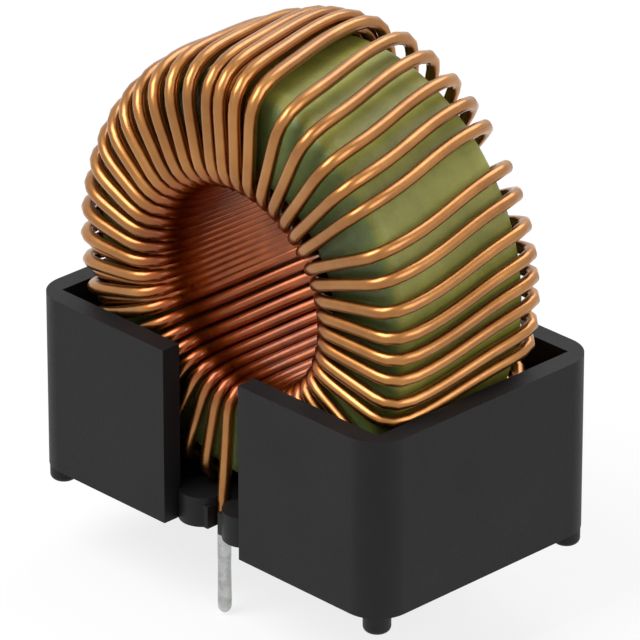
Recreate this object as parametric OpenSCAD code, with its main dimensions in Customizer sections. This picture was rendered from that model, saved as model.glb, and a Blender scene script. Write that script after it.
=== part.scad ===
// Toroidal inductor for a circuit board. A coated ring core, wound with one
// layer of enamelled wire, stands upright in an open-topped moulded header.
// The two ends of the wire leave through notches in the header as tinned leads.
// Origin: middle of the header's plan, on the plane that its feet stand on.
// +X runs along the header, +Y along the ring's axis and +Z upwards.

/* [Core] */
// Outer diameter of the coated core
core_od = 26.9; // [25:0.1:30]
// Diameter of the core's hole
core_id = 14.5; // [12:0.1:16]
// Height of the core along its axis
core_h = 11.1; // [9:0.1:14]
// Rounding of the core's edges
core_edge_r = 1.2; // [0.8:0.1:1.6]

/* [Winding] */
// Diameter of the enamelled wire
wire_d = 0.84; // [0.7:0.02:1]
// Gap between neighbouring turns in the hole
turn_gap = 0.034; // [0.03:0.002:0.2]
// Clearance of the wire's bends over the core
wind_clear = 0.15; // [0.12:0.01:0.3]
// How far the crowded turns stand off the core's faces
face_bulge = 0.9; // [0:0.05:1.2]
// How far the crowded turns stand off the core's outside
outer_bulge = 0.85; // [0:0.05:1.2]
// Angle of the ring that the winding covers
wind_span = 354; // [300:1:356]

/* [Header] */
// Height of the header's walls, floor included
wall_h = 11.9; // [8:0.1:13]
// Thickness of the walls
wall_t = 1.38; // [1:0.02:2]
// Thickness of the floor
floor_t = 1.5; // [1:0.1:2.4]
// Radius of the outer corners
corner_r = 2.3; // [1.5:0.1:3]
// Gap between the winding and the end walls, at their top
end_gap = 0.07; // [0.05:0.01:1]
// Gap between the winding and the long walls
side_gap = 1.18; // [0.9:0.02:2]
// Gap between the winding and the floor
seat_gap = 0.1; // [0.05:0.05:0.3]
// Width of the slots in the long walls
slot_w = 6.65; // [5:0.1:9]

/* [Wire guides] */
// Radius of the rounded jaws beside each lead
jaw_r = 1.5; // [1:0.1:1.8]
// Height of the jaws above the header's underside
jaw_h = 2; // [1.7:0.1:4]
// Distance of the jaws' noses behind the long wall's face
jaw_set = 0.87; // [0.5:0.01:1.3]
// Clearance round the wire in its notch
notch_clear = 0.03; // [0.02:0.01:0.1]

/* [Feet] */
// Diameter of a standoff foot
foot_d = 1.75; // [1.4:0.05:2.2]
// Height of a standoff foot
foot_h = 1.25; // [0.8:0.05:2]
// Rounding of a foot's lower edge
foot_edge_r = 0.4; // [0.2:0.05:0.6]
// Distance of a foot's side from the header's sides
foot_inset = 0.45; // [0.3:0.05:1]

/* [Leads] */
// Diameter of a tinned lead
lead_d = 0.88; // [0.7:0.02:1.1]
// Length of a lead below the feet
lead_drop = 4.7; // [3:0.1:8]
// Sideways distance of each lead from the header's middle
lead_off = 0.46; // [0:0.02:1]
// Chamfer at a lead's tip
tip_chamfer = 0.12; // [0.05:0.01:0.2]

/* [Hidden] */
$fn = 64;
eps = 0.01;

// The section that the wire's centre line follows round the core: an oval with
// flat sides, a_wind and b_wind in half width and half height. It is rounder
// where the turns are crowded, on the ring's upper left.
squareness = 6.6;
crowded_squareness = 3.2;
crowded_hole_squareness = 4.6;
crowded_at = 150;
// Share by which the wire stands off the core's flat faces more than its sides
face_slack = 1.6;
swollen_at = 115;
core_mid_r = (core_od + core_id) / 4;
a_wind = (core_od - core_id) / 4 + wire_d / 2 + wind_clear;
b_wind = core_h / 2 + wire_d / 2 + wind_clear * face_slack;
wound_r = core_mid_r + a_wind + wire_d / 2;
wound_half_h = b_wind + wire_d / 2;

// Turns that fit side by side in the hole, and the half turn that carries the
// wire from the front lead to the back one.
hole_r = core_mid_r - a_wind;
turns = floor(2 * PI * hole_r * wind_span / 360 / (wire_d + turn_gap)) - 0.5;
turn_pitch = wind_span / turns;
first_angle = 270 - (360 - wind_span) / 2;

// Places of the ring, the walls and the leads
ring_x = 0.08;
ring_y = -0.35;
ring_z = foot_h + floor_t + seat_gap + wound_r;
wall_top = foot_h + wall_h;
half_chord = wall_top > ring_z ? wound_r : sqrt(pow(wound_r, 2) - pow(ring_z - wall_top, 2));
header_l = 2 * (half_chord + end_gap + wall_t + abs(ring_x));
header_w = 2 * (wound_half_h + side_gap + wall_t + abs(ring_y));
notch_w = wire_d + 2 * notch_clear;
lead_y = header_w / 2 - jaw_set - jaw_r;
foot_x = header_l / 2 - foot_inset - foot_d / 2;
foot_y = header_w / 2 - foot_inset - foot_d / 2;

// Sweep of the wire: places of its rings in each quarter turn, close together
// at the bends, and the sides of each ring
quarter_steps = [0, 1 / 12, 1 / 8, 1 / 6];
wire_sides = 8;

// Where the loose turns on the ring's right lie on its outside, in pitches
// ahead of (+) or behind (-) their even places, from the top downwards
loose_from = 22;
loose_shift = [0.5, 0.8, 1, 0.55, 0.4, 0.2, 0.2, 0.3, -0.3, -0.25, -0.33, -0.27, -0.04, 0.2, 0.25, 0.5];
// Share of a turn's advance that is made on the ring's outside, and the part of
// the turn that lies there
outer_advance = 0.85;
outside_from = 0.6;
outside_part = 0.3;
// Extra slant of the crowded turns across the ring's outside, in degrees
crowded_tilt = 3;

function limited(x, low, high) = min(max(x, low), high);

function shift_of(i) =
    let (k = i - loose_from)
    k >= 0 && k < len(loose_shift) ? loose_shift[k] : 0;

// How crowded the turns are at s turns from the front lead, from 0 to 1
function crowding(s, at) = (1 + cos(first_angle - turn_pitch * s - at)) / 2;

// Point on the wire's centre line after s turns, as [place, middle of the
// section there]
function wire_point(s) =
    let (slant = 270 - 360 * s)
    let (crowd = crowding(s, crowded_at))
    let (rounder = cos(slant) > 0 ? crowded_squareness : crowded_hole_squareness)
    let (n = squareness + (rounder - squareness) * pow(crowd, 2))
    let (q = pow(pow(abs(cos(slant)), n) + pow(abs(sin(slant)), n), -1 / n))
    let (a = a_wind + (cos(slant) > 0 ? outer_bulge * pow(crowding(s, swollen_at), 3) : 0))
    let (b = b_wind + face_bulge * crowd)
    let (outside = (1 - cos(360 * (s - 0.25))) / 2)
    let (ramp = limited((s - floor(s) - outside_from) / outside_part, 0, 1))
    let (advance = (1 - outer_advance) * s + outer_advance * (floor(s) + ramp))
    let (tilt = crowded_tilt * crowd * q * sin(slant))
    let (t = first_angle - turn_pitch * (advance - shift_of(floor(s - 0.25)) * outside) + tilt * outside)
    let (r = core_mid_r + a * q * cos(slant))
    [
        [ring_x + r * cos(t), ring_y + b * q * sin(slant), ring_z + r * sin(t)],
        [ring_x + core_mid_r * cos(t), ring_y, ring_z + core_mid_r * sin(t)]
    ];

function unit(v) = v / norm(v);

// One ring of the swept wire: its middle, the way the wire runs, and the way out
function wire_ring(middle, along, out) =
    let (side = unit(cross(along, out)))
    let (up = unit(cross(side, along)))
    [for (k = [0 : wire_sides - 1])
        let (a = 360 * (k + 0.5) / wire_sides)
        middle + wire_d / 2 * (cos(a) * up + sin(a) * side)];

// A straight end of the wire, from its lead up through the jaws
function end_points(x, y) = [[x, y, foot_h], [x, y, foot_h + jaw_h + wire_d / 2]];

function reversed(list) = [for (i = [len(list) - 1 : -1 : 0]) list[i]];

// Rounded rectangle from squares and circles, so that its arcs stay true
module rounded(size, r) {
    square([size.x - 2 * r, size.y], center = true);
    square([size.x, size.y - 2 * r], center = true);
    for (x = [-1, 1], y = [-1, 1])
        translate([x * (size.x / 2 - r), y * (size.y / 2 - r)]) circle(r);
}

// Foot, from its rounded lower edge up into the header's underside
module foot() {
    rotate_extrude() {
        square([foot_d / 2 - foot_edge_r, foot_h + eps]);
        translate([0, foot_edge_r]) square([foot_d / 2, foot_h - foot_edge_r + eps]);
        translate([foot_d / 2 - foot_edge_r, foot_edge_r]) circle(foot_edge_r);
    }
}

// The two jaws that guide one lead, joined to the floor behind them
module jaws(x) {
    for (side = [-1, 1])
        translate([x + side * (notch_w / 2 + jaw_r), -lead_y, foot_h]) cylinder(r = jaw_r, h = jaw_h);
}

// The notch that a lead drops through
module notch(x) {
    translate([x, -lead_y, foot_h - eps]) {
        cylinder(d = notch_w, h = jaw_h + 2 * eps);
        translate([-notch_w / 2, -jaw_r - wall_t, 0]) cube([notch_w, jaw_r + wall_t, jaw_h + 2 * eps]);
    }
}

module header() {
    color([0.13, 0.13, 0.14])
    difference() {
        union() {
            difference() {
                translate([0, 0, foot_h]) linear_extrude(wall_h) rounded([header_l, header_w], corner_r);
                translate([wall_t - header_l / 2, wall_t - header_w / 2, foot_h + floor_t])
                    cube([header_l - 2 * wall_t, header_w - 2 * wall_t, wall_h]);
                translate([-slot_w / 2, -header_w / 2 - 1, foot_h - 1]) cube([slot_w, wall_t + 1, wall_h + 2]);
                translate([-slot_w / 2, header_w / 2 - wall_t, foot_h - 1]) cube([slot_w, wall_t + 1, wall_h + 2]);
            }
            jaws(-lead_off);
            rotate(180) jaws(-lead_off);
            for (x = [-foot_x, foot_x], y = [-foot_y, foot_y])
                translate([x, y, 0]) foot();
        }
        notch(-lead_off);
        rotate(180) notch(-lead_off);
    }
}

module core() {
    color([0.5, 0.55, 0.2])
    translate([ring_x, ring_y, ring_z])
        rotate([90, 0, 0])
            rotate_extrude($fn = 128)
                translate([core_mid_r, 0]) rounded([(core_od - core_id) / 2, core_h], core_edge_r);
}

module winding() {
    turn_at = [for (quarter = [0 : 4 * turns - 1], step = quarter_steps) quarter / 4 + step];
    wound = [for (s = concat(turn_at, [turns])) wire_point(s)];
    middles = concat(
        end_points(-lead_off, -lead_y),
        [for (p = wound) p[0]],
        reversed(end_points(lead_off, lead_y))
    );
    outs = concat(
        [[0, -1, 0], [0, -1, 0]],
        [for (p = wound) unit(p[0] - p[1])],
        [[0, 1, 0], [0, 1, 0]]
    );
    last = len(middles) - 1;
    rings = [for (i = [0 : last])
        let (before = i < 2 ? middles[0] : middles[i - 1])
        let (after = i > last - 2 ? middles[last] : middles[i + 1])
        let (along = i == 0 ? [0, 0, 1] : i == last ? [0, 0, -1] : unit(after - before))
        wire_ring(middles[i], along, outs[i])];
    points = [for (ring = rings) each ring];
    sides = [for (i = [0 : last - 1], k = [0 : wire_sides - 1])
        let (a = i * wire_sides + k)
        let (b = i * wire_sides + (k + 1) % wire_sides)
        each [[b, a, a + wire_sides], [b + wire_sides, b, a + wire_sides]]];
    first_cap = [[for (k = [0 : wire_sides - 1]) k]];
    last_cap = [[for (k = [wire_sides - 1 : -1 : 0]) last * wire_sides + k]];
    color([0.78, 0.5, 0.28]) polyhedron(points, concat(sides, first_cap, last_cap), convexity = 10);
}

// Tinned end of the wire, below the header
module lead() {
    length = lead_drop + foot_h;
    translate([0, 0, -lead_drop]) {
        translate([0, 0, tip_chamfer]) cylinder(d = lead_d, h = length - tip_chamfer);
        cylinder(d1 = lead_d - 2 * tip_chamfer, d2 = lead_d, h = tip_chamfer);
    }
}

module front_lead() {
    color([0.75, 0.76, 0.76]) translate([-lead_off, -lead_y, 0]) lead();
}

module back_lead() {
    color([0.75, 0.76, 0.76]) translate([lead_off, lead_y, 0]) lead();
}

header();
core();
winding();
front_lead();
back_lead();
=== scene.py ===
import math

import bmesh
import bpy
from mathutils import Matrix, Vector


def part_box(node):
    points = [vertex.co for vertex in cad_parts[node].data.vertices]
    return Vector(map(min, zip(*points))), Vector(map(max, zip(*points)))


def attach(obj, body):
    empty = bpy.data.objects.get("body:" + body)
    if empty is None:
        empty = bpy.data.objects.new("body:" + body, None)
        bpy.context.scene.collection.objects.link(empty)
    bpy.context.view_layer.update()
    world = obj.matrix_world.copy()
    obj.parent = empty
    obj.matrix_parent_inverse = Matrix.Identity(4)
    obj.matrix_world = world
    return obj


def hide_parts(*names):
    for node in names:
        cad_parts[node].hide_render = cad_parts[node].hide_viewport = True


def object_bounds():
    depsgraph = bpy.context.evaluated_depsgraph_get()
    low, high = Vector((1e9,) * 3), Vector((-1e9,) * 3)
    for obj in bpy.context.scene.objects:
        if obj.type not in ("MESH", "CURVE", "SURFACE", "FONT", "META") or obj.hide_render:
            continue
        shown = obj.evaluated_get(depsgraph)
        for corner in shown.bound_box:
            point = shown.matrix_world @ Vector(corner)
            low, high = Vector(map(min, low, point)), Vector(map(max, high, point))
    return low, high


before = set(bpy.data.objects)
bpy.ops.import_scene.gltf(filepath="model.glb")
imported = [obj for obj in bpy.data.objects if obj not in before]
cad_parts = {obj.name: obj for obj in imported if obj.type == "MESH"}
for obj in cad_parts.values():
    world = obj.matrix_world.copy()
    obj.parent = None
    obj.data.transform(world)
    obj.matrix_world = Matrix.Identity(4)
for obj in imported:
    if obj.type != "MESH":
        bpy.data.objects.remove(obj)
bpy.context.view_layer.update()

MM = 0.001

# Camera, measured on the photograph: angles in degrees, distances in millimetres
VIEW_AZIMUTH = 45.84
VIEW_ELEVATION = 25.98
VIEW_DISTANCE = 432.64
VIEW_TARGET = (-0.46, 1.07, 12.64)
LENS = 393.75
SENSOR = 36.0

# Studio: strength of the white surroundings as a light and as they are seen, distances in metres
WORLD_LIGHT = 0.32
WORLD_SEEN = 1.0
FLOOR_HALF = 3.0
FLOOR_DROP = 0.1 * MM
FLOOR_WHITE_SHARE = 0.8

# Sizes of the core, the winding and the header's wire guides, in millimetres, as the solids have them
CORE_OD = 26.9
CORE_ID = 14.5
CORE_H = 11.1
CORE_EDGE_R = 1.2
WIRE_D = 0.84
WIND_CLEAR = 0.15
FACE_SLACK = 1.6
FACE_BULGE = 0.9
JAW_H = 2.0

# A little less than the solid's, so that the rounder wire stays inside its box
OUTER_BULGE = 0.79

# The wire's run: turns and parts of turns, and angles round the ring in degrees
TURNS = 46.5
WIND_SPAN = 354.0
TURN_PITCH = WIND_SPAN / TURNS
FIRST_ANGLE = 270 - (360 - WIND_SPAN) / 2
CROWDED_AT = 150.0
SWOLLEN_AT = 115.0
CROWDED_TILT = 3.0
HOLE_MIDDLE = 0.25
OUTER_ADVANCE = 0.85
OUTSIDE_FROM = 0.6
OUTSIDE_PART = 0.3

# Powers of the squared oval that the wire follows round the ring's section
SQUARENESS = 6.6
CROWDED_SQUARENESS = 3.2
CROWDED_HOLE_SQUARENESS = 4.6

# How far the loose turns lean back outside, in turns, read from the photograph
LOOSE_FROM = 22
LOOSE_SHIFT = [0.5, 0.8, 1, 0.55, 0.4, 0.2, 0.2, 0.3, -0.3, -0.25, -0.33, -0.27, -0.04, 0.2, 0.25, 0.5]

# Turns that lie lower, between the crowded ones, with ends that sink into the core
LOWER_FROM = 7
LOWER_START = LOWER_FROM + HOLE_MIDDLE
LOWER_TURNS = 17
LOWER_BULGE = 0.15
LOWER_SWELL_SHARE = 0.3
LOWER_END = 0.3
LOWER_END_DEPTH = 1.6

CORE_MID_R = (CORE_OD + CORE_ID) / 4
A_WIND = (CORE_OD - CORE_ID) / 4 + WIRE_D / 2 + WIND_CLEAR
B_WIND = CORE_H / 2 + WIRE_D / 2 + WIND_CLEAR * FACE_SLACK

# How finely the pieces are rounded
RINGS_A_TURN = 48
END_RINGS = 5
WIRE_SIDES = 16
LEAD_SIDES = 24
LEAD_STEPS = 48
CORE_AROUND = 192
CORE_EDGE_STEPS = 8
HEADER_EDGE = 0.16 * MM
HEADER_EDGE_STEPS = 3

# Cleaning of the header's mesh: points this close are one, and angles in degrees
SAME_POINT = 0.001 * MM
FLAT_ANGLE = 0.5
SHARP_ANGLE = 40

# The tin on the leads: its thickness as a share of the solid's, and its two ripples
TIN_EVEN = 0.97
TIN_LONG_RIPPLE = 0.02
TIN_LONG_WAVES = 9
TIN_SHORT_RIPPLE = 0.01
TIN_SHORT_WAVES = 23
TIP_LEAST = 0.3

# Values that the noises are spread and shaded between
NOISE_LOW = 0.25
NOISE_HIGH = 0.75
SHADE_LOW = 0.3
SHADE_HIGH = 0.7

# Where the core's side turns into its face, by its normal
FACE_NORMAL_FROM = 0.55
FACE_NORMAL_TO = 0.85

# Radii round the ring's axis between which the wire gets a painted shade, redder and darker, for the
# shade and bounced copper light inside the hole, in millimetres
BORE_SHADE_FROM_R = 8.4
BORE_SHADE_TO_R = 6.9


def linear(r, g, b):
    """A colour as it looks on the screen, from 0 to 255, turned linear."""
    def one(c):
        c = c / 255
        return c / 12.92 if c <= 0.04045 else ((c + 0.055) / 1.055) ** 2.4
    return (one(r), one(g), one(b), 1.0)


def look_back(azimuth, elevation):
    """Direction from the target to a camera or light at these angles."""
    a, e = math.radians(azimuth), math.radians(elevation)
    return Vector((math.sin(a) * math.cos(e), -math.cos(a) * math.cos(e), math.sin(e)))


def make_camera():
    """The camera that took the photograph, as measured."""
    data = bpy.data.cameras.new("camera")
    data.lens = LENS
    data.sensor_width = SENSOR
    data.clip_start = 0.01
    data.clip_end = 20
    camera = bpy.data.objects.new("camera", data)
    bpy.context.scene.collection.objects.link(camera)
    back = look_back(VIEW_AZIMUTH, VIEW_ELEVATION)
    camera.location = (Vector(VIEW_TARGET) + back * VIEW_DISTANCE) * MM
    camera.rotation_mode = "QUATERNION"
    camera.rotation_quaternion = (-back).to_track_quat("-Z", "Y")
    bpy.context.scene.camera = camera


def area_light(name, azimuth, elevation, distance, size, power):
    """A round light that faces the target, with its distance and size in metres."""
    data = bpy.data.lights.new(name, "AREA")
    data.shape = "DISK"
    data.size = size
    data.energy = power
    light = bpy.data.objects.new(name, data)
    bpy.context.scene.collection.objects.link(light)
    back = look_back(azimuth, elevation)
    light.location = Vector(VIEW_TARGET) * MM + back * distance
    light.rotation_mode = "QUATERNION"
    light.rotation_quaternion = (-back).to_track_quat("-Z", "Y")


def make_lights():
    """A key from the front left, a fill from the right and a light from behind."""
    area_light("key", azimuth=-20, elevation=55, distance=0.30, size=0.22, power=0.85)
    area_light("fill", azimuth=100, elevation=30, distance=0.34, size=0.25, power=0.45)
    area_light("back", azimuth=190, elevation=50, distance=0.34, size=0.22, power=0.4)


def seen_directly(nodes, links):
    """1 where the camera, a reflection or a view through glass meets the surface."""
    path = nodes.new("ShaderNodeLightPath")
    seen = path.outputs["Is Camera Ray"]
    for kind in ("Is Transmission Ray", "Is Glossy Ray"):
        either = nodes.new("ShaderNodeMath")
        either.operation = "MAXIMUM"
        links.new(seen, either.inputs[0])
        links.new(path.outputs[kind], either.inputs[1])
        seen = either.outputs[0]
    return seen


def make_world():
    """White surroundings, which light the part less than they look."""
    world = bpy.data.worlds.new("studio")
    bpy.context.scene.world = world
    world.use_nodes = True
    nodes, links = world.node_tree.nodes, world.node_tree.links
    background = nodes["Background"]
    background.inputs["Color"].default_value = (1, 1, 1, 1)
    strength = nodes.new("ShaderNodeMix")
    strength.data_type = "FLOAT"
    strength.inputs["A"].default_value = WORLD_LIGHT
    strength.inputs["B"].default_value = WORLD_SEEN
    links.new(seen_directly(nodes, links), strength.inputs["Factor"])
    links.new(strength.outputs["Result"], background.inputs["Strength"])


def make_floor():
    """A pale floor just under the leads' tips."""
    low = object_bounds()[0]
    mesh = bpy.data.meshes.new("floor")
    corners = [(FLOOR_HALF * x, FLOOR_HALF * y, 0) for x, y in ((-1, -1), (1, -1), (1, 1), (-1, 1))]
    mesh.from_pydata(corners, [], [(0, 1, 2, 3)])
    floor = bpy.data.objects.new("floor", mesh)
    floor.location = (0, 0, low.z - FLOOR_DROP)
    bpy.context.scene.collection.objects.link(floor)
    mesh.materials.append(floor_material())


def floor_material():
    """Matte white that the camera sees as nearly pure white, with a faint soft shadow left."""
    material, nodes, links, shader = new_material("floor")
    shader.inputs["Base Color"].default_value = (0.9, 0.9, 0.9, 1)
    shader.inputs["Roughness"].default_value = 0.9
    glow = nodes.new("ShaderNodeEmission")
    glow.inputs["Color"].default_value = (1, 1, 1, 1)
    mixed = nodes.new("ShaderNodeMixShader")
    share = nodes.new("ShaderNodeMath")
    share.operation = "MULTIPLY"
    share.inputs[1].default_value = FLOOR_WHITE_SHARE
    links.new(seen_directly(nodes, links), share.inputs[0])
    links.new(share.outputs[0], mixed.inputs["Fac"])
    links.new(shader.outputs[0], mixed.inputs[1])
    links.new(glow.outputs[0], mixed.inputs[2])
    links.new(mixed.outputs[0], nodes["Material Output"].inputs["Surface"])
    return material


def new_material(name):
    """A material with its nodes, links and main shader."""
    material = bpy.data.materials.new(name)
    material.use_nodes = True
    nodes, links = material.node_tree.nodes, material.node_tree.links
    return material, nodes, links, nodes["Principled BSDF"]


def noise(nodes, links, scale, detail, roughness, stretch=(1, 1, 1)):
    """Noise over the object's own coordinates, with its scale in features a metre."""
    place = nodes.new("ShaderNodeTexCoord")
    mapping = nodes.new("ShaderNodeMapping")
    mapping.inputs["Scale"].default_value = stretch
    texture = nodes.new("ShaderNodeTexNoise")
    texture.inputs["Scale"].default_value = scale
    texture.inputs["Detail"].default_value = detail
    texture.inputs["Roughness"].default_value = roughness
    links.new(place.outputs["Object"], mapping.inputs["Vector"])
    links.new(mapping.outputs["Vector"], texture.inputs["Vector"])
    return texture.outputs["Fac"]


def shades(nodes, links, source, dark, pale):
    """A colour that runs from dark to pale along a noise."""
    node = nodes.new("ShaderNodeValToRGB")
    first, last = node.color_ramp.elements
    first.position = SHADE_LOW
    first.color = dark
    last.position = SHADE_HIGH
    last.color = pale
    links.new(source, node.inputs["Fac"])
    return node.outputs["Color"]


def map_range(nodes, links, source, from_low, from_high, low=0.0, high=1.0):
    """A value that runs from low to high while the source runs over its own range."""
    node = nodes.new("ShaderNodeMapRange")
    node.inputs["From Min"].default_value = from_low
    node.inputs["From Max"].default_value = from_high
    node.inputs["To Min"].default_value = low
    node.inputs["To Max"].default_value = high
    links.new(source, node.inputs["Value"])
    return node.outputs["Result"]


def spread(nodes, links, source, low, high):
    """A noise spread over a new range."""
    return map_range(nodes, links, source, NOISE_LOW, NOISE_HIGH, low, high)


def bump(nodes, links, shader, height, strength, distance):
    """Relief on the shader, with its depth in metres."""
    node = nodes.new("ShaderNodeBump")
    node.inputs["Strength"].default_value = strength
    node.inputs["Distance"].default_value = distance
    links.new(height, node.inputs["Height"])
    links.new(node.outputs["Normal"], shader.inputs["Normal"])


def mix_colours(nodes, links, share, first, second):
    """The first colour where the share is 0, the second where it is 1."""
    node = nodes.new("ShaderNodeMix")
    node.data_type = "RGBA"
    links.new(share, node.inputs["Factor"])
    links.new(first, node.inputs["A"])
    links.new(second, node.inputs["B"])
    return node.outputs["Result"]


def bore_shade_mask(nodes, links):
    """Share of the painted shade in the hole: 1 on the ring's hole side, falling to 0 past the hole's
    rim.
    """
    low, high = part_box("core")
    middle = (low + high) / 2
    place = nodes.new("ShaderNodeTexCoord")
    mapping = nodes.new("ShaderNodeMapping")
    mapping.inputs["Scale"].default_value = (1, 0, 1)
    mapping.inputs["Location"].default_value = (-middle.x, 0, -middle.z)
    links.new(place.outputs["Object"], mapping.inputs["Vector"])
    radius = nodes.new("ShaderNodeVectorMath")
    radius.operation = "LENGTH"
    links.new(mapping.outputs["Vector"], radius.inputs[0])
    return map_range(nodes, links, radius.outputs["Value"], BORE_SHADE_FROM_R * MM, BORE_SHADE_TO_R * MM)


def on_a_face(nodes, links):
    """1 where the surface looks along the ring's axis, 0 on the ring's round sides."""
    geometry = nodes.new("ShaderNodeNewGeometry")
    split = nodes.new("ShaderNodeSeparateXYZ")
    links.new(geometry.outputs["Normal"], split.inputs[0])
    flat = nodes.new("ShaderNodeMath")
    flat.operation = "ABSOLUTE"
    links.new(split.outputs["Y"], flat.inputs[0])
    return map_range(nodes, links, flat.outputs[0], FACE_NORMAL_FROM, FACE_NORMAL_TO)


def plastic_material():
    """Black moulded plastic with a fine spark-eroded texture and faint flow marks."""
    material, nodes, links, shader = new_material("moulded_plastic")
    flow = noise(nodes, links, scale=160, detail=3.0, roughness=0.6)
    fine = noise(nodes, links, scale=9000, detail=3.0, roughness=0.6)
    colour = shades(nodes, links, flow, dark=linear(15, 15, 17), pale=linear(21, 21, 23))
    links.new(colour, shader.inputs["Base Color"])
    links.new(spread(nodes, links, fine, low=0.46, high=0.62), shader.inputs["Roughness"])
    shader.inputs["Specular IOR Level"].default_value = 0.22
    bump(nodes, links, shader, fine, strength=0.25, distance=0.04 * MM)
    return material


def coating_material():
    """Sprayed coating: olive on the outside, greener on the flat faces."""
    material, nodes, links, shader = new_material("core_coating")
    cloud = noise(nodes, links, scale=420, detail=4.0, roughness=0.6)
    grain = noise(nodes, links, scale=5200, detail=3.0, roughness=0.65)
    outside = shades(nodes, links, cloud, dark=linear(118, 120, 44), pale=linear(146, 144, 62))
    faces = shades(nodes, links, cloud, dark=linear(84, 100, 48), pale=linear(108, 124, 66))
    colour = mix_colours(nodes, links, on_a_face(nodes, links), outside, faces)
    links.new(colour, shader.inputs["Base Color"])
    links.new(spread(nodes, links, grain, low=0.38, high=0.6), shader.inputs["Roughness"])
    bump(nodes, links, shader, grain, strength=0.5, distance=0.06 * MM)
    return material


def enamel_material():
    """Copper under clear enamel, changing slightly along the wire, with painted shade in the hole:
    redder and darker there for the shade and bounced copper light.
    """
    material, nodes, links, shader = new_material("enamelled_copper")
    tint = noise(nodes, links, scale=240, detail=3.0, roughness=0.6)
    fine = noise(nodes, links, scale=3000, detail=2.0, roughness=0.5)
    wire = shades(nodes, links, tint, dark=linear(140, 92, 40), pale=linear(172, 122, 66))
    # Painted shade: a redder, darker copper in the hole, for the shade and the light bounced between
    # the turns there
    painted_bore_shade = shades(nodes, links, tint, dark=linear(112, 50, 14), pale=linear(160, 82, 28))
    colour = mix_colours(nodes, links, bore_shade_mask(nodes, links), wire, painted_bore_shade)
    links.new(colour, shader.inputs["Base Color"])
    shader.inputs["Metallic"].default_value = 1.0
    links.new(spread(nodes, links, fine, low=0.26, high=0.4), shader.inputs["Roughness"])
    shader.inputs["Coat Weight"].default_value = 0.6
    shader.inputs["Coat Roughness"].default_value = 0.12
    shader.inputs["Coat Tint"].default_value = (1.0, 0.86, 0.66, 1.0)
    bump(nodes, links, shader, fine, strength=0.08, distance=0.03 * MM)
    return material


def tin_material():
    """Dipped tin with fine ripples and dull patches."""
    material, nodes, links, shader = new_material("dipped_tin")
    patch = noise(nodes, links, scale=1200, detail=4.0, roughness=0.6)
    ripple = noise(nodes, links, scale=2600, detail=3.0, roughness=0.6, stretch=(1, 1, 0.35))
    colour = shades(nodes, links, patch, dark=linear(150, 152, 150), pale=linear(206, 208, 205))
    links.new(colour, shader.inputs["Base Color"])
    shader.inputs["Metallic"].default_value = 1.0
    links.new(spread(nodes, links, patch, low=0.25, high=0.45), shader.inputs["Roughness"])
    bump(nodes, links, shader, ripple, strength=0.3, distance=0.06 * MM)
    return material


def mesh_object(name, points, faces, material):
    """A smooth piece from its points and faces."""
    mesh = bpy.data.meshes.new(name)
    mesh.from_pydata([tuple(p) for p in points], [], faces)
    mesh.update()
    mesh.materials.append(material)
    mesh.polygons.foreach_set("use_smooth", [True] * len(mesh.polygons))
    piece = bpy.data.objects.new(name, mesh)
    bpy.context.scene.collection.objects.link(piece)
    return piece


def settle(piece, node):
    """The piece stands for a node and moves with the part's one body."""
    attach(piece, "root")
    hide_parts(node)


def crowding(s, at):
    """1 where the wire, after s turns, is at this angle round the ring, and 0 opposite."""
    return (1 + math.cos(math.radians(FIRST_ANGLE - TURN_PITCH * s - at))) / 2


def shift_of(turn):
    """How far a turn leans back outside, in turns."""
    place = turn - LOOSE_FROM
    return LOOSE_SHIFT[place] if 0 <= place < len(LOOSE_SHIFT) else 0.0


def squared_oval(slant, crowd):
    """Radius of a squared circle of half width 1, rounder where the turns crowd."""
    rounder = CROWDED_SQUARENESS if math.cos(slant) > 0 else CROWDED_HOLE_SQUARENESS
    n = SQUARENESS + (rounder - SQUARENESS) * crowd ** 2
    return (abs(math.cos(slant)) ** n + abs(math.sin(slant)) ** n) ** (-1 / n)


def half_sizes(s, slant, crowd, lower):
    """The wire's reach from the middle of the ring's section: outward or inward, and sideways."""
    swell = OUTER_BULGE * crowding(s, SWOLLEN_AT) ** 3 if math.cos(slant) > 0 else 0
    if not lower:
        return A_WIND + swell, B_WIND + FACE_BULGE * crowd
    to_end = min(s - LOWER_START, LOWER_START + LOWER_TURNS - s)
    sunk = LOWER_END_DEPTH * max(0, 1 - to_end / LOWER_END)
    return A_WIND + LOWER_SWELL_SHARE * swell - sunk, B_WIND + LOWER_BULGE * crowd


def ring_angle(s, tilt, lower):
    """Angle round the ring after s turns, most of it gained while the wire is outside."""
    outside = (1 - math.cos(2 * math.pi * (s - HOLE_MIDDLE))) / 2
    part = min(max((s - math.floor(s) - OUTSIDE_FROM) / OUTSIDE_PART, 0), 1)
    part = part * part * (3 - 2 * part)
    advance = (1 - OUTER_ADVANCE) * s + OUTER_ADVANCE * (math.floor(s) + part)
    shift = shift_of(math.floor(s - HOLE_MIDDLE)) * outside
    degrees = FIRST_ANGLE - TURN_PITCH * (advance - shift) + tilt * outside
    return math.radians(degrees - TURN_PITCH / 2 if lower else degrees)


def wire_point(s, centre, lower=False):
    """Place of the wire's middle after s turns, and the middle of the ring's section there."""
    slant = math.radians(270 - 360 * s)
    crowd = crowding(s, CROWDED_AT)
    q = squared_oval(slant, crowd)
    a, b = half_sizes(s, slant, crowd, lower)
    t = ring_angle(s, CROWDED_TILT * crowd * q * math.sin(slant), lower)
    across = Vector((math.cos(t), 0, math.sin(t)))
    along = Vector((0, b * q * math.sin(slant), 0))
    middle = centre + across * CORE_MID_R
    return middle + across * (a * q * math.cos(slant)) + along, middle


def core_centre():
    """Middle of the ring, in millimetres."""
    low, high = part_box("core")
    return (low + high) / 2 / MM


def lead_ends():
    """Where the two leads meet the wire, in millimetres, front one first."""
    ends = []
    for node in ("front_lead", "back_lead"):
        low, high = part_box(node)
        ends.append(Vector(((low.x + high.x) / 2, (low.y + high.y) / 2, high.z)) / MM)
    return ends


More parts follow.
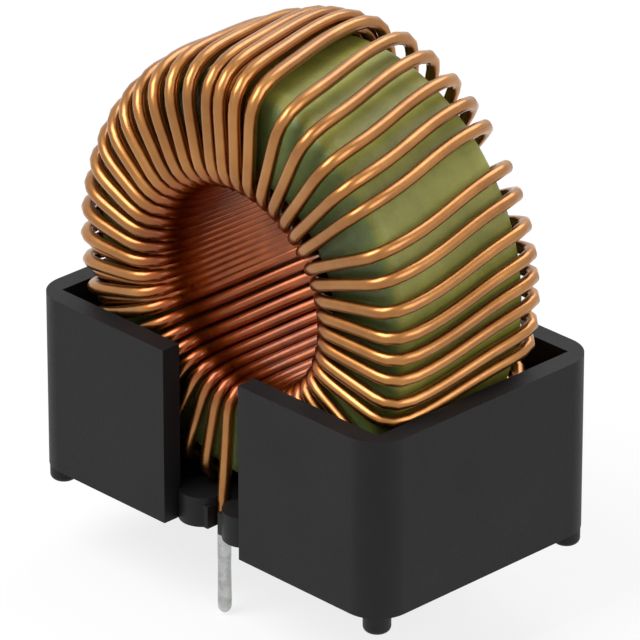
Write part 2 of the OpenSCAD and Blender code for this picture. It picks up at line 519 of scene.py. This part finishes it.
def wire_path():
    """The wire's whole run, from one lead to the other, with its outward directions."""
    centre = core_centre()
    front, back = lead_ends()
    rise = JAW_H + WIRE_D / 2
    heights = [rise * k / (END_RINGS - 1) for k in range(END_RINGS)]
    count = int(TURNS * RINGS_A_TURN)
    wound = [wire_point(k / RINGS_A_TURN, centre) for k in range(count + 1)]
    middles = [front + Vector((0, 0, height)) for height in heights]
    middles += [p for p, _ in wound]
    middles += [back + Vector((0, 0, height)) for height in reversed(heights)]
    outs = [Vector((0, -1, 0))] * END_RINGS
    outs += [(p - m).normalized() for p, m in wound]
    outs += [Vector((0, 1, 0))] * END_RINGS
    return middles, outs


def sweep(middles, outs, radii, sides):
    """Points and faces of a closed round tube along the middles."""
    points = []
    last = len(middles) - 1
    for i, middle in enumerate(middles):
        along = (middles[min(i + 1, last)] - middles[max(i - 1, 0)]).normalized()
        side = along.cross(outs[i]).normalized()
        up = side.cross(along).normalized()
        for k in range(sides):
            a = 2 * math.pi * k / sides
            points.append(middle + radii[i] * (math.cos(a) * up + math.sin(a) * side))
    faces = []
    for i in range(last):
        for k in range(sides):
            a, b = i * sides + k, i * sides + (k + 1) % sides
            faces.append((a, b, b + sides, a + sides))
    faces.append(tuple(range(sides))[::-1])
    faces.append(tuple(last * sides + k for k in range(sides)))
    return points, faces


def make_wire(name, middles, outs, material):
    """A piece of the winding along the middles, which are in millimetres."""
    points, faces = sweep(middles, outs, [WIRE_D / 2] * len(middles), WIRE_SIDES)
    piece = mesh_object(name, [p * MM for p in points], faces, material)
    settle(piece, "winding")


def make_winding(material):
    """The whole winding, as one wire."""
    middles, outs = wire_path()
    make_wire("winding_wire", middles, outs, material)


def make_lower_turns(material):
    """The turns between the crowded ones, as one more run of the same wire."""
    centre = core_centre()
    count = LOWER_TURNS * RINGS_A_TURN
    run = [wire_point(LOWER_START + k / RINGS_A_TURN, centre, lower=True) for k in range(count + 1)]
    outs = [(p - m).normalized() for p, m in run]
    make_wire("winding_lower_turns", [p for p, _ in run], outs, material)


def core_section(outer, inner, half):
    """The ring's rounded section, as distances from its axis and along it."""
    edge = CORE_EDGE_R * MM
    corners = ((outer - edge, half - edge), (inner + edge, half - edge),
               (inner + edge, edge - half), (outer - edge, edge - half))
    section = []
    for corner, (x, y) in enumerate(corners):
        for k in range(CORE_EDGE_STEPS + 1):
            a = math.radians(90 * (corner + k / CORE_EDGE_STEPS))
            section.append((x + edge * math.cos(a), y + edge * math.sin(a)))
    return section


def make_core(material):
    """The coated ring, turned from its rounded section."""
    low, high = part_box("core")
    centre = (low + high) / 2
    section = core_section((high.x - low.x) / 2, CORE_ID / 2 * MM, (high.y - low.y) / 2)
    size = len(section)
    points = []
    faces = []
    for i in range(CORE_AROUND):
        t = 2 * math.pi * i / CORE_AROUND
        points += [centre + Vector((r * math.cos(t), y, r * math.sin(t))) for r, y in section]
        here, there = i * size, (i + 1) % CORE_AROUND * size
        for k in range(size):
            after = (k + 1) % size
            faces.append((here + k, here + after, there + after, there + k))
    piece = mesh_object("coated_ring", points, faces, material)
    settle(piece, "core")


def clean_header_mesh():
    """A copy of the header's solid, with its flat faces joined up again."""
    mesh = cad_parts["header"].data.copy()
    mesh.name = "moulded_header"
    shape = bmesh.new()
    shape.from_mesh(mesh)
    bmesh.ops.remove_doubles(shape, verts=shape.verts, dist=SAME_POINT)
    flat = math.radians(FLAT_ANGLE)
    bmesh.ops.dissolve_limit(shape, angle_limit=flat, verts=shape.verts, edges=shape.edges)
    shape.to_mesh(mesh)
    shape.free()
    return mesh


def make_header(material):
    """The moulding, from its solid's own shape, with its sharp edges broken."""
    mesh = clean_header_mesh()
    mesh.materials.clear()
    mesh.materials.append(material)
    mesh.polygons.foreach_set("use_smooth", [True] * len(mesh.polygons))
    piece = bpy.data.objects.new("moulded_header", mesh)
    bpy.context.scene.collection.objects.link(piece)
    edges = piece.modifiers.new("broken_edges", "BEVEL")
    edges.width = HEADER_EDGE
    edges.segments = HEADER_EDGE_STEPS
    edges.limit_method = "ANGLE"
    edges.angle_limit = math.radians(SHARP_ANGLE)
    normals = piece.modifiers.new("even_normals", "WEIGHTED_NORMAL")
    normals.keep_sharp = True
    settle(piece, "header")


def tin_thickness(along, phase):
    """The tin's radius as a share of the lead's, at a place from 0 at the top to 1 at the tip."""
    long_ripple = TIN_LONG_RIPPLE * math.sin(TIN_LONG_WAVES * along + phase)
    short_ripple = TIN_SHORT_RIPPLE * math.sin(TIN_SHORT_WAVES * along + 2 * phase)
    return TIN_EVEN + long_ripple + short_ripple


def make_lead(node, name, material, phase):
    """A tinned wire end, slightly uneven where the tin ran and rounded at its tip."""
    low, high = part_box(node)
    middle = (low + high) / 2
    radius = (high.x - low.x) / 2
    length = high.z - low.z
    middles, radii = [], []
    for k in range(LEAD_STEPS + 1):
        along = k / LEAD_STEPS
        to_tip = min((1 - along) * length / radius, 1)
        rounding = max(math.sqrt(1 - (1 - to_tip) ** 2), TIP_LEAST)
        middles.append(Vector((middle.x, middle.y, high.z - length * along)))
        radii.append(radius * tin_thickness(along, phase) * rounding)
    points, faces = sweep(middles, [Vector((0, -1, 0))] * len(middles), radii, LEAD_SIDES)
    piece = mesh_object(name, points, faces, material)
    settle(piece, node)


def main():
    """The studio first, then the part's pieces."""
    bpy.context.scene.view_settings.view_transform = "Standard"
    make_camera()
    make_world()
    make_floor()
    make_lights()
    make_header(plastic_material())
    make_core(coating_material())
    enamel = enamel_material()
    make_winding(enamel)
    make_lower_turns(enamel)
    tin = tin_material()
    make_lead("front_lead", "tinned_end_front", tin, phase=0.4)
    make_lead("back_lead", "tinned_end_back", tin, phase=2.1)


main()
